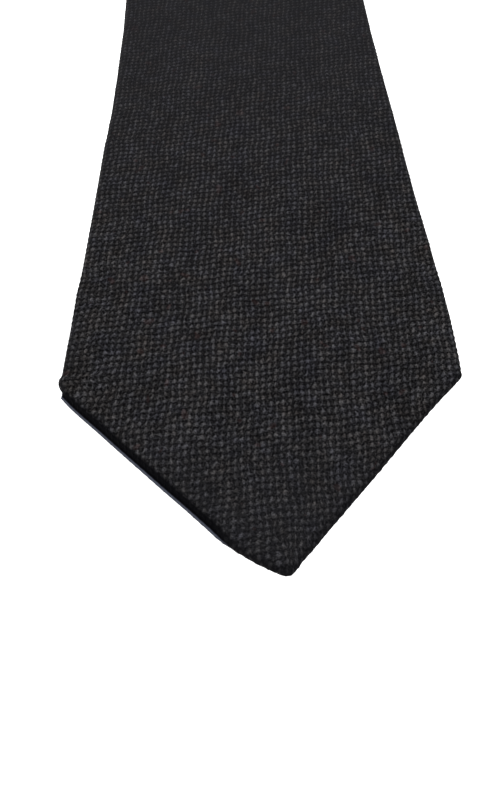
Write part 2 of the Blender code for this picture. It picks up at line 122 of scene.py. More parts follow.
def place(s, x, n):
    s, x, n = np.broadcast_arrays(np.asarray(s, float), x, n)
    angle = np.interp(s, pathS, pathAngle)
    y = yStart + np.interp(s, pathS, pathRun) - n * np.sin(angle)
    z = np.interp(s, pathS, pathZ) + n * np.cos(angle)
    turn = np.clip((s - foldStart) / foldMiddle, 0, math.pi)
    inFold = s > foldStart
    y = np.where(inFold, foldY + (foldMiddle + n) * np.sin(turn), y)
    z = np.where(inFold, foldRadius + (foldMiddle + n) * np.cos(turn), z)
    onTail = s >= foldEnd
    y = np.where(onTail, foldY - (s - foldEnd), y)
    z = np.where(onTail, thickness(s) / 2 - n, z)
    return np.stack([x, y, z], axis=-1)


# The weave's lattice on the flat cloth, where its light knuckles sit.
weave = {
    "across": (0.00135, 6.5), "along": (0.00147, 3.5),      # pitch, and tilt in degrees
    "waves": (0.30, 0.30, 0.17, 0.11, 0.12),                # the shape of a knuckle
    "arch": 0.08,                # each knuckle bows up in the middle
    "relief": 0.00011,           # its height in the mesh
    "fadeStart": 0.190, "fadeEnd": 0.222,     # the mesh's own relief ends here, and the material's goes on
}
acrossPitch, acrossTilt = weave["across"][0], math.radians(weave["across"][1])
alongPitch, alongTilt = weave["along"][0], math.radians(weave["along"][1])
acrossStep = (acrossPitch * math.cos(acrossTilt), acrossPitch * math.sin(acrossTilt))
alongStep = (alongPitch * math.sin(alongTilt), alongPitch * math.cos(alongTilt))
latticeInverse = np.linalg.inv(np.array([acrossStep, alongStep]).T)


# The yarns wander a little, so rows and columns aren't quite straight.
def wander(u, v):
    du = 0.00016 * np.sin(v * 310 + u * 95 + 0.7) + 0.00012 * np.sin(v * 820 - u * 260 + 2.0)
    dv = 0.00018 * np.sin(u * 270 - v * 120 + 1.1) + 0.00012 * np.sin(u * 760 + v * 340 + 0.2)
    slow = 0.0006 * np.sin(u * 41 + v * 17) + 0.0004 * np.sin(v * 29 - u * 53 + 1.9)
    return u + du + 0.4 * slow, v + dv + slow


def knuckles(u, v):
    u, v = wander(u, v)
    i = (latticeInverse[0, 0] * u + latticeInverse[0, 1] * v) * math.tau
    j = (latticeInverse[1, 0] * u + latticeInverse[1, 1] * v) * math.tau
    j = j - weave["arch"] * math.tau * np.cos(i)
    height = 0
    for phase, share in zip((i, j, i - j, i + j, 2 * i), weave["waves"]):
        height = height + share * np.cos(phase)
    return height


# Slow, uneven swells of the cloth.
def swell(u, v, size):
    return size * (np.sin(u * 61 + v * 23 + 0.6) * np.cos(v * 37 - 0.4) + 0.6 * np.sin(v * 83 + u * 47 + 2.1)
                   + 0.4 * np.sin(u * 149 - v * 71 + 1.3)) / 2


def weld(mesh, distance=2e-6):
    bm = bmesh.new()
    bm.from_mesh(mesh)
    bmesh.ops.remove_doubles(bm, verts=bm.verts, dist=distance)
    bmesh.ops.dissolve_degenerate(bm, edges=bm.edges, dist=1e-8)
    bm.to_mesh(mesh)
    bm.free()


def addObject(name, data):
    thing = bpy.data.objects.new(name, data)
    bpy.context.scene.collection.objects.link(thing)
    return thing


# A grid is its points, their places on the flat cloth, a value at each and whether its faces are turned over.
# Edges that meet are merged.
def meshFromGrids(name, grids, material, attribute=None):
    points = np.concatenate([grid[0].reshape(-1, 3) for grid in grids])
    flat = np.concatenate([grid[1].reshape(-1, 2) for grid in grids])
    faces = []
    offset = 0
    for gridPoints, gridFlat, values, turned in grids:
        rows, columns = gridPoints.shape[:2]
        index = offset + np.arange(rows * columns).reshape(rows, columns)
        corners = (index[:-1, :-1], index[:-1, 1:], index[1:, 1:], index[1:, :-1])
        quads = np.stack(corners, axis=-1).reshape(-1, 4)
        faces.append(quads[:, ::-1] if turned else quads)
        offset += rows * columns
    faces = np.concatenate(faces)
    mesh = bpy.data.meshes.new(name)
    mesh.from_pydata(points.tolist(), [], faces.tolist())
    if material == cloth:
        flat = np.stack(wander(flat[:, 0], flat[:, 1]), axis=-1)
    layer = mesh.uv_layers.new(name="flatCloth")
    layer.data.foreach_set("uv", flat[faces.reshape(-1)].astype(np.float32).ravel())
    if attribute:
        values = np.concatenate([grid[2].reshape(-1) for grid in grids]).astype(np.float32)
        mesh.attributes.new(attribute, "FLOAT", "POINT").data.foreach_set("value", values)
    thing = addObject(name, mesh)
    weld(mesh)
    mesh.polygons.foreach_set("use_smooth", np.ones(len(mesh.polygons), bool))
    mesh.materials.append(material)
    return thing


# Two faces and the closed rim between them.
def closedSlab(top, bottom, flat, turned):
    blank = np.zeros(flat.shape[:2])
    grids = [(top, flat, blank, turned), (bottom, flat, blank, not turned)]
    for edge, over in ((np.s_[0], True), (np.s_[-1], False), (np.s_[:, 0], False), (np.s_[:, -1], True)):
        pair = np.stack([top[edge], bottom[edge]])
        grids.append((pair, np.stack([flat[edge], flat[edge]]), np.zeros(pair.shape[:2]), over != turned))
    return grids


def newMaterial(name):
    material = bpy.data.materials.new(name)
    material.use_nodes = True
    tree = material.node_tree
    return material, tree, tree.nodes["Principled BSDF"]


def node(tree, kind, **settings):
    made = tree.nodes.new(kind)
    for key, value in settings.items():
        setattr(made, key, value)
    return made


def wire(tree, source, target):
    tree.links.new(source, target)


def calculate(tree, operation, first, second=None, third=None):
    made = node(tree, "ShaderNodeMath", operation=operation)
    for k, value in enumerate((first, second, third)):
        if value is None:
            continue
        if isinstance(value, (int, float)):
            made.inputs[k].default_value = value
        else:
            wire(tree, value, made.inputs[k])
    return made.outputs[0]


def noise(tree, vector, scale, detail=2.0, roughness=0.5):
    made = node(tree, "ShaderNodeTexNoise")
    made.inputs["Scale"].default_value = scale
    made.inputs["Detail"].default_value = detail
    made.inputs["Roughness"].default_value = roughness
    wire(tree, vector, made.inputs["Vector"])
    return made.outputs["Fac"]


def ramp(tree, value, stops):
    made = node(tree, "ShaderNodeValToRGB")
    while len(made.color_ramp.elements) < len(stops):
        made.color_ramp.elements.new(0.5)
    for element, (position, colour) in zip(made.color_ramp.elements, stops):
        element.position = position
        element.color = (*colour, 1)
    wire(tree, value, made.inputs["Fac"])
    return made.outputs["Color"]


def mixColour(tree, factor, first, second, blendType="MIX"):
    made = node(tree, "ShaderNodeMix", data_type="RGBA", blend_type=blendType)
    for socket, value in ((made.inputs[0], factor), (made.inputs[6], first), (made.inputs[7], second)):
        if isinstance(value, (int, float)):
            socket.default_value = value
        elif isinstance(value, tuple):
            socket.default_value = (*value, 1)
        else:
            wire(tree, value, socket)
    return made.outputs[2]


def eased(tree, value, start, end, first, last):
    # from first to last while the value goes from start to end
    made = node(tree, "ShaderNodeMapRange", interpolation_type="SMOOTHSTEP")
    wire(tree, value, made.inputs["Value"])
    for key, number in (("From Min", start), ("From Max", end), ("To Min", first), ("To Max", last)):
        made.inputs[key].default_value = number
    return made.outputs["Result"]


def dotProduct(tree, vector, along):
    made = node(tree, "ShaderNodeVectorMath", operation="DOT_PRODUCT")
    wire(tree, vector, made.inputs[0])
    made.inputs[1].default_value = along
    return made.outputs["Value"]


def flatPlace(tree):
    return node(tree, "ShaderNodeUVMap", uv_map="flatCloth").outputs["UV"]


def addRelief(tree, shader, height, strength, distance):
    bump = node(tree, "ShaderNodeBump")
    bump.inputs["Strength"].default_value = strength
    bump.inputs["Distance"].default_value = distance
    wire(tree, height, bump.inputs["Height"])
    wire(tree, bump.outputs["Normal"], shader.inputs["Normal"])


clothFinish = {
    # colours from the weave's pits, painted near black as shade, up to its knuckles, painted light as
    # highlight on the yarn's own dark tone, and a slow drift of their cast
    "pitShadeToKnuckleHighlight": ((0.26, (0.0001, 0.0001, 0.0002)), (0.46, (0.0132, 0.0129, 0.0138)),
                (0.88, (0.0505, 0.0495, 0.0520))),
    "cast": ((0.34, (0.95, 0.97, 1.10)), (0.50, (1.0, 1.0, 1.0)), (0.66, (1.08, 1.00, 0.92))),
    "castScale": 170.0,
    "jitter": 0.9, "jitterScales": (765.0, 945.0),      # how far the knuckles stand out of line
    "ownTone": (0.6, 0.66),                             # each knuckle's own tone: its spread and its least
    "fibreScale": 2300.0, "fibreLight": 1.25, "heightLight": 0.92, "lightLevel": -0.585,
    "mottleScale": 90.0, "mottle": (0.9, 0.55),
    "speckScale": 3600.0, "speck": 3.0, "speckLeast": 0.05,
    "fleck": (0.045, 0.020, 0.018), "fleckScale": 260.0, "fleckFrom": 0.70, "fleckShare": 0.35,
    # a plain tone takes over towards the neck and on the pressed point: from, to, its share at each
    "plain": (0.0118, 0.0116, 0.0134),
    "neckCalm": (0.055, 0.180, 0.04, 0.62), "pointCalm": (0.008, 0.038, 0.30, 0.0),
    # the rolled edge's painted shade, and the satin lip: its own bluish tone brightened by a painted
    # highlight
    "rolledEdgeShade": (0.0008, 0.0008, 0.0014), "satinLipAndHighlight": (0.058, 0.064, 0.084),
    "roughness": 0.88, "specular": 0.02, "sheen": 0.002, "sheenRoughness": 0.5,
    "relief": 0.00030, "reliefStrength": 0.85, "fibreRelief": 0.30,
}


def weaveHeight(tree, phases):
    # the same waves as knuckles(), for the bump and the colours
    waves = ((phases[0], 1), (phases[1], 1), (calculate(tree, "SUBTRACT", *phases), 1),
             (calculate(tree, "ADD", *phases), 1), (phases[0], 2))
    height = 0.5
    for (phase, times), share in zip(waves, weave["waves"]):
        wave = calculate(tree, "COSINE", calculate(tree, "MULTIPLY", phase, math.tau * times))
        height = calculate(tree, "MULTIPLY_ADD", wave, share / 2, height)
    return height


def knuckleTone(tree, phases):
    cell = node(tree, "ShaderNodeCombineXYZ")
    for k in (0, 1):
        wire(tree, calculate(tree, "ROUND", phases[k]), cell.inputs[k])
    own = node(tree, "ShaderNodeTexWhiteNoise", noise_dimensions="2D")
    wire(tree, cell.outputs[0], own.inputs["Vector"])
    return calculate(tree, "MULTIPLY_ADD", own.outputs["Value"], *clothFinish["ownTone"])


def makeCloth():
    look = clothFinish
    material, tree, shader = newMaterial("dark_bias_cloth")
    flat = flatPlace(tree)
    phases = []
    for row, scale in enumerate(look["jitterScales"]):
        straight = dotProduct(tree, flat, (latticeInverse[row, 0], latticeInverse[row, 1], 0))
        uneven = noise(tree, flat, scale)
        uneven = calculate(tree, "MULTIPLY_ADD", uneven, look["jitter"], -look["jitter"] / 2)
        phases.append(calculate(tree, "ADD", straight, uneven))
    arch = calculate(tree, "COSINE", calculate(tree, "MULTIPLY", phases[0], math.tau))
    phases[1] = calculate(tree, "MULTIPLY_ADD", arch, -weave["arch"], phases[1])
    height = weaveHeight(tree, phases)
    fibre = noise(tree, flat, look["fibreScale"], 3.0, 0.7)
    lit = calculate(tree, "MULTIPLY_ADD", height, look["heightLight"], look["lightLevel"])
    lit = calculate(tree, "MULTIPLY_ADD", fibre, look["fibreLight"], lit)
    mottle = noise(tree, flat, look["mottleScale"], 4.0, 0.6)
    mottle = calculate(tree, "MULTIPLY_ADD", mottle, *look["mottle"])
    speck = noise(tree, flat, look["speckScale"], 1.0)
    speck = calculate(tree, "MULTIPLY_ADD", speck, look["speck"], 1 - look["speck"] / 2)
    speck = calculate(tree, "MAXIMUM", speck, look["speckLeast"])
    tone = calculate(tree, "MULTIPLY", knuckleTone(tree, phases), speck)
    shade = node(tree, "ShaderNodeVectorMath", operation="SCALE")
    # the ramp paints shade into the weave's pits and a highlight onto its knuckles
    wire(tree, ramp(tree, lit, look["pitShadeToKnuckleHighlight"]), shade.inputs[0])
    wire(tree, calculate(tree, "MULTIPLY", tone, mottle), shade.inputs["Scale"])
    cast = ramp(tree, noise(tree, flat, look["castScale"], 5.0, 0.7), look["cast"])
    colour = mixColour(tree, 1.0, shade.outputs[0], cast, "MULTIPLY")
    fleck = calculate(tree, "GREATER_THAN", noise(tree, flat, look["fleckScale"], 1.0), look["fleckFrom"])
    fleck = calculate(tree, "MULTIPLY", fleck, calculate(tree, "MULTIPLY", height, look["fleckShare"]))
    colour = mixColour(tree, fleck, colour, look["fleck"])
    # the weave is boldest a little way in from the point
    along = node(tree, "ShaderNodeSeparateXYZ")
    wire(tree, flat, along.inputs[0])
    calm = [eased(tree, along.outputs["Y"], *look[key]) for key in ("neckCalm", "pointCalm")]
    colour = mixColour(tree, calculate(tree, "ADD", *calm), colour, look["plain"])
    # edgeBand is 1 on the rolled edge, painted near black as shade, and 2 on the lip of satin, painted
    # lighter as satin with a painted highlight
    band = node(tree, "ShaderNodeAttribute", attribute_name="edgeBand").outputs["Fac"]
    # the rolled edge is painted near black: painted shade where the edge turns away from the light
    colour = mixColour(tree, calculate(tree, "MINIMUM", band, 1.0), colour, look["rolledEdgeShade"])
    satinShare = calculate(tree, "MAXIMUM", calculate(tree, "SUBTRACT", band, 1.0), 0.0)
    # the satin lip is painted lighter: partly the lining's own bluish satin, partly a painted highlight along
    # its top
    wire(tree, mixColour(tree, satinShare, colour, look["satinLipAndHighlight"]), shader.inputs["Base Color"])
    shader.inputs["Roughness"].default_value = look["roughness"]
    shader.inputs["Specular IOR Level"].default_value = look["specular"]
    shader.inputs["Sheen Weight"].default_value = look["sheen"]
    shader.inputs["Sheen Roughness"].default_value = look["sheenRoughness"]
    addRelief(tree, shader, calculate(tree, "MULTIPLY_ADD", fibre, look["fibreRelief"], height),
              look["reliefStrength"], look["relief"])
    return material


satinFinish = {"dark": (0.0055, 0.0060, 0.0100), "light": (0.016, 0.018, 0.030),
               "roughness": 0.36, "ribs": 1700.0}
labelFinish = {"dark": (0.006, 0.006, 0.008), "light": (0.018, 0.018, 0.022),
               "roughness": 0.44, "ribs": 2600.0,
               "half": (0.023, 0.009), "inset": 0.0020, "width": 0.0006, "colour": (0.10, 0.10, 0.11)}
tagFinish = {"dark": (0.36, 0.36, 0.35), "light": (0.52, 0.52, 0.50),
             "roughness": 0.50, "ribs": 1900.0}
satinWeave = {
    "slant": 0.6, "specular": 0.35, "relief": (0.4, 0.00008),      # the relief's strength and height
    "cloudScale": 90.0, "cloudShare": 0.7, "ribShare": 0.3, "ribWave": (0.25, 0.5),
}


def wovenFrame(tree, flat, finish):
    # 1 on a narrow frame just inside the label's edge
    sides = node(tree, "ShaderNodeSeparateXYZ")
    wire(tree, flat, sides.inputs[0])
    reach = []
    for k in (0, 1):
        away = calculate(tree, "ABSOLUTE", sides.outputs[k])
        reach.append(calculate(tree, "SUBTRACT", away, finish["half"][k] - finish["inset"]))
    reach = calculate(tree, "ABSOLUTE", calculate(tree, "MAXIMUM", *reach))
    return calculate(tree, "LESS_THAN", reach, finish["width"] / 2)


def makeSatin(name, finish):
    material, tree, shader = newMaterial(name)
    flat = flatPlace(tree)
    rib = dotProduct(tree, flat, (finish["ribs"] * satinWeave["slant"], finish["ribs"], 0.0))
    rib = calculate(tree, "SINE", calculate(tree, "MULTIPLY", rib, math.tau))
    rib = calculate(tree, "MULTIPLY_ADD", rib, *satinWeave["ribWave"])
    cloudy = noise(tree, flat, satinWeave["cloudScale"], 4.0)
    share = calculate(tree, "MULTIPLY", rib, satinWeave["ribShare"])
    share = calculate(tree, "MULTIPLY_ADD", cloudy, satinWeave["cloudShare"], share)
    colour = mixColour(tree, share, finish["dark"], finish["light"])
    if "inset" in finish:
        colour = mixColour(tree, wovenFrame(tree, flat, finish), colour, finish["colour"])
    wire(tree, colour, shader.inputs["Base Color"])
    shader.inputs["Roughness"].default_value = finish["roughness"]
    shader.inputs["Specular IOR Level"].default_value = satinWeave["specular"]
    addRelief(tree, shader, rib, *satinWeave["relief"])
    return material


woolFinish = {"colours": ((0.25, (0.42, 0.38, 0.30)), (0.75, (0.68, 0.64, 0.55))), "fuzz": 900.0,
              "roughness": 0.95, "sheen": 0.3, "relief": (0.6, 0.0003)}


def makeWool():
    material, tree, shader = newMaterial("wool_interlining_cloth")
    fuzz = noise(tree, flatPlace(tree), woolFinish["fuzz"], 5.0, 0.7)
    wire(tree, ramp(tree, fuzz, woolFinish["colours"]), shader.inputs["Base Color"])
    shader.inputs["Roughness"].default_value = woolFinish["roughness"]
    shader.inputs["Sheen Weight"].default_value = woolFinish["sheen"]
    addRelief(tree, shader, fuzz, *woolFinish["relief"])
    return material


threadFinish = {"colours": ((0.3, (0.005, 0.005, 0.006)), (0.7, (0.018, 0.018, 0.021))), "twist": 5000.0,
                "roughness": 0.55, "sheen": 0.1}


def makeThread():
    material, tree, shader = newMaterial("sewing_thread")
    twist = noise(tree, node(tree, "ShaderNodeTexCoord").outputs["Object"], threadFinish["twist"])
    wire(tree, ramp(tree, twist, threadFinish["colours"]), shader.inputs["Base Color"])
    shader.inputs["Roughness"].default_value = threadFinish["roughness"]
    shader.inputs["Sheen Weight"].default_value = threadFinish["sheen"]
    return material


cloth = makeCloth()
satin = makeSatin("blue_black_satin", satinFinish)
labelSatin = makeSatin("label_satin_weave", labelFinish)
tagSatin = makeSatin("tag_white_satin", tagFinish)
wool = makeWool()
thread = makeThread()
print("materials made")


outerCloth = {
    "frontEnd": 0.112, "tailBreak": 0.112,        # where the pointed lengths end, on a straight row
    "fineFace": 236, "fineRows": 0.00034,         # columns across the blade's face, and its rows' spacing
    "plainRows": 0.0022, "tailRows": 0.0010,
    "upperFace": 72, "neckFace": 48, "tailFace": 60,
    "bladeFlaps": 10, "plainFlaps": 9,
    "rollSteps": 11,
    "foldedUnder": ((-0.0002, 0.45), (0.0004, 0.95), (0.0030, 0.97)),     # free edges: how far in, how deep
    "swell": 0.00022, "swellEdge": 0.012,
    "seamGroove": 0.00030, "grooveWidth": 0.0011,
    "shoulderTurn": 0.0040,                       # the rim turns the shoulder's corner over this length
    "mitreShare": 0.8,                            # and is mitred over this share of the lower edges
}
rollSteps = outerCloth["rollSteps"]


class PointedEnd:
    # sizes of one pointed end; t is the distance from the end's own point
    def __init__(self, width, tack, fromBlade):
        self.fromBlade = fromBlade
        self.half = tieShape["tipThickness"] / 2
        self.core = width / 2 - self.half
        self.start = self.half * math.sqrt(2)
        self.fade = width * 1.2
        self.tack = tack
        self.kiteHalf = self.core - tieShape["kiteMargin"]
        self.corner = self.start + self.edge(self.core)
        self.hemBottom = self.start + tieShape["hem"] * math.sqrt(2)
        self.kiteCorner = self.hemBottom + self.edge(self.kiteHalf)


    def edge(self, x):
        return np.hypot(x, tieShape["pointRound"]) - tieShape["pointRound"]

    def chevron(self, q, x):
        return q + (1 - smooth(q, 0, self.fade)) * self.edge(x)

    def toTie(self, t):
        return t if self.fromBlade else length - t

    def freeEdge(self, t, under):
        f = (t - self.kiteCorner) / (self.tack - self.kiteCorner)
        return between(self.kiteHalf, -tieShape["underFlap"] if under else tieShape["overFlap"], f)

    def lag(self, t):
        # how much further along the free edge a row ends
        return (self.kiteCorner - self.corner) * (1 - smooth(t, self.corner, self.tack))


bladeEnd = PointedEnd(tieShape["bladeWidth"], tieShape["bladeTack"], True)
tailEnd = PointedEnd(tieShape["tailWidth"], tieShape["tailTack"], False)


def flapSink(s, distance, under):
    # how deep the flap's outside lies under the back's surface
    near = 1 - smooth(distance, tieShape["stepStart"], tieShape["stepEnd"])
    return np.where(under, tieShape["flapDrop"] * layerShare(s) * near, 0)


def seamSlant(q, seam):
    return 1 - smooth(np.abs(q - seam), 0, tieShape["seamRamp"])


def seamDip(s, x):
    # a shallow groove along each bias seam, on the face and on the back
    dip = 0
    for seam in (tieShape["bladeSeam"], tieShape["tailSeam"]):
        dip = dip + outerCloth["seamGroove"] * np.exp(-(((s - seam) - x) / outerCloth["grooveWidth"]) ** 2)
    return dip


def clothHeight(s, u, v, x):
    # how far the cloth's outside stands from its plain surface
    detail = weave["relief"] * (1 - smooth(v, weave["fadeStart"], weave["fadeEnd"])) * knuckles(u, v)
    inside = smooth(halfWidth(s) - np.abs(x), 0, outerCloth["swellEdge"])
    return detail + swell(u, v, outerCloth["swell"]) * inside - seamDip(s, u)


# The lower left edge in section: how far out, how high in half thicknesses, and its edgeBand, 1 for painted
# shade and 2 for the satin lip with a painted highlight.
edgeLip = ((0.00, 1.00, 0.0), (0.22, 0.94, 0.4), (0.42, 0.72, 1.0), (0.60, 0.30, 1.0), (0.78, -0.16, 1.0),
           (0.96, -0.40, 1.0), (1.06, -0.38, 2.0), (1.20, -0.44, 2.0), (1.30, -0.62, 1.2), (0.95, -0.94, 1.0),
           (0.50, -1.00, 0.4), (0.00, -1.00, 0.0))

# Where the sewn outline leaves the even cut, in millimetres: along the two lower edges by x, and along each
# side by the distance from the point. The point leans to the right and the lower left edge stands proud.
unevenCut = {
    "lower": ((-41, -1.15, -0.95), (-36, -0.95, -0.95), (-31.5, -0.75, -0.75), (-27, -0.64, -0.64),
              (-22.6, -0.50, -0.50), (-18.4, -0.40, -0.40), (-14.4, -0.25, -0.25), (-10.4, -0.12, -0.20),
              (-8, -0.10, -0.35), (-6, 0.30, -0.45), (-3.6, 1.10, -0.20), (-2, 1.75, 0.14),
              (-0.8, 2.10, 0.40), (0, 2.40, 0.80), (0.6, 1.95, 0.60), (1.7, 1.30, 0.37), (3.1, 0.85, 0.28),
              (6, 0.45, -0.05), (9, 0.30, 0.05), (13, 0.15, -0.05), (20, 0.03, -0.03), (28, -0.17, 0.17),
              (32, -0.25, 0.25), (36, -0.25, 0.25), (41, -0.10, 0.10)),
    "left": ((30, 0), (41.3, 0.25), (42.4, -0.65), (43.1, -0.60), (44.2, -0.08), (58, 0.05), (69, 0.26),
             (81, 0.0), (94, 0.1), (109, 0.4), (124, 0.8), (141, 0.7), (160, 0.4), (181, -0.5), (215, 0)),
    "right": ((36, 0), (44.4, 0.3), (55, 0.35), (66, -0.15), (78, 0.3), (91, 0.2), (138, 0.2), (157, 0.4),
              (178, 1.0), (215, 0)),
}
cutTables = {key: np.array(value) / 1000 for key, value in unevenCut.items()}
cutFade = 0.012              # how far in from the edge the lower part is felt
cutTaps = ((-1.5, 0.10), (-1, 0.14), (-0.5, 0.17), (0, 0.18), (0.5, 0.17), (1, 0.14), (1.5, 0.10))
cutSpread = 0.8              # the shift further in is an average over a wider stretch of the edge


def sideShift(x, t, core):
    shift = [np.interp(t, cutTables[side][:, 0], cutTables[side][:, 1]) for side in ("left", "right")]
    return np.where(x < 0, *shift) * np.clip(np.abs(x) / core, 0, 1) ** 4


def outlineShift(x, t):
    low = cutTables["lower"]
    inner = np.maximum(t - bladeEnd.start - bladeEnd.edge(x), 0) / math.sqrt(2)
    felt = np.exp(-(inner / cutFade) ** 2)
    moved = []
    for column in (1, 2):
        total = 0
        for step, weight in cutTaps:
            total = total + weight * np.interp(x + step * inner * cutSpread, low[:, 0], low[:, column])
        moved.append(total * felt)
    return moved[0] + sideShift(x, t, bladeEnd.core), moved[1]


def faceColumns(count):
    even = np.linspace(-1, 1, count)
    return np.sign(even) * np.abs(even) ** 0.97


def clothLength(q, faceCount, flapCount, end=None, seam=None):
    # one length of shell, all the way round, between two rows; end is given where it opens towards the point
    slant = seamSlant(q, seam) if seam else np.zeros_like(q)
    half = thickness(q) / 2
    core = halfWidth(q) - half
    if end:
        lag = end.lag(q)
        freeEdges = {side: end.freeEdge(q + lag, side < 0) for side in (-1, 1)}
    else:
        lag = np.zeros_like(q)
        freeEdges = {-1: -tieShape["underFlap"], 1: tieShape["overFlap"]}
    sides = {}
    for side in (-1, 1):
        line = []
        for k in range(1, rollSteps + 1):
            turn = math.pi * k / rollSteps
            girth = side * (core + turn * half)
            line.append((side * core, side * math.sin(turn), math.cos(turn), girth, 0, 0))
        for f in np.linspace(0, 1, flapCount)[1:]:
            x = core + (freeEdges[side] - core) * f
            sink = flapSink(q, (core - freeEdges[side]) * (1 - f), side < 0)
            girth = side * (core + math.pi * half + (core - x))
            line.append((side * x, 0, -1, girth, lag * f, sink))
        sides[side] = line
    face = [(core * f, 0, 1, core * f, 0, 0) for f in faceColumns(faceCount)]
    # a column: its place across, the way it stands out, its girth, how late it is and how deep it lies
    strips = []
    for x, out, up, girth, late, sink in sides[-1][::-1] + face + sides[1]:
        along = q + slant * girth + late
        radius = half + clothHeight(along, girth, q + late, x)
        moved = x + out * radius
        if end:
            moved = moved + sideShift(x, q, core)
        strips.append((place(along, moved, up * radius + sink), np.stack([girth, along], axis=-1)))
    for side in (-1, 1):
        x, out, up, girth, late, sink = sides[side][-1]
        along = q + slant * girth + late
        folded = []
        for inward, depth in outerCloth["foldedUnder"]:
            n = -half + sink + tieShape["cloth"] * depth
            flat = np.stack([girth - side * inward, along], axis=-1)
            folded.append((place(along, x + side * inward, n), flat))
        strips = folded[::-1] + strips if side < 0 else strips + folded
    points, flats = (np.stack(columns, axis=1) for columns in zip(*strips))
    return points, flats, np.zeros(points.shape[:2]), False


def rimStops(end, x, t):
    # stops round the rim, from the far left row down to the point and up to the far right row
    rimX = np.concatenate([x[:0:-1, 0], x[0], x[1:, -1]])
    rimT = np.concatenate([t[:0:-1, 0], t[0], t[1:, -1]])
    rows = len(x) - 1
    stops = np.arange(len(rimX))
    side = np.where(stops < rows, -1, np.where(stops >= len(rimX) - rows, 1, 0))       # 0 on the lower edges
    slope = rimX / np.hypot(rimX, tieShape["pointRound"])
    normalX = np.where(side == 0, slope / np.hypot(1, slope), np.sign(rimX))
    normalT = np.where(side == 0, -1 / np.hypot(1, slope), 0)
    travelled = np.concatenate([[0], np.cumsum(np.hypot(np.diff(rimX), np.diff(rimT)))])
    for corner in (rows, len(rimX) - 1 - rows):
        weight = 1 - smooth(np.abs(travelled - travelled[corner]), 0, outerCloth["shoulderTurn"])
        normalX = between(normalX, np.sign(rimX[corner]) * math.cos(math.pi / 8), weight)
        normalT = between(normalT, -math.sin(math.pi / 8), weight)
        size = np.hypot(normalX, normalT)
        normalX, normalT = normalX / size, normalT / size
    nearPoint = (side == 0) & (np.abs(rimX) < outerCloth["mitreShare"] * end.core)
    lean = np.where(nearPoint, np.arctan(np.abs(slope)), math.pi / 4)
    mitre = 1 / np.cos(math.pi / 4 - lean)           # keeps the point sharp
    return rimX, rimT, normalX, normalT, mitre, side


def openingEdge(end, rimX, rimT, side):
    # where each stop's cloth ends on the back: round the lining's opening, then along the back seam
    goalX = np.where(side == 0, rimX * end.kiteHalf / end.core, 0)
    goalT = np.where(side == 0, end.hemBottom + end.edge(goalX), rimT + end.lag(rimT))
    for which in (-1, 1):
        goalX = np.where(side == which, which * end.freeEdge(goalT, which < 0), goalX)
    return goalX, goalT


lipStops = np.linspace(0, 1, len(edgeLip))
# The lip runs from near the point to the shoulder, and the cloth's relief is pressed flatter on it.
lipReach = {"start": (0.004, 0.010), "end": (-0.0005, 0.0030), "flatter": 0.7}
# how far the rolled edge's painted shade reaches, and how strong it is
rolledEdgeShadeSpan = {"share": 0.75, "end": (-0.001, 0.002)}


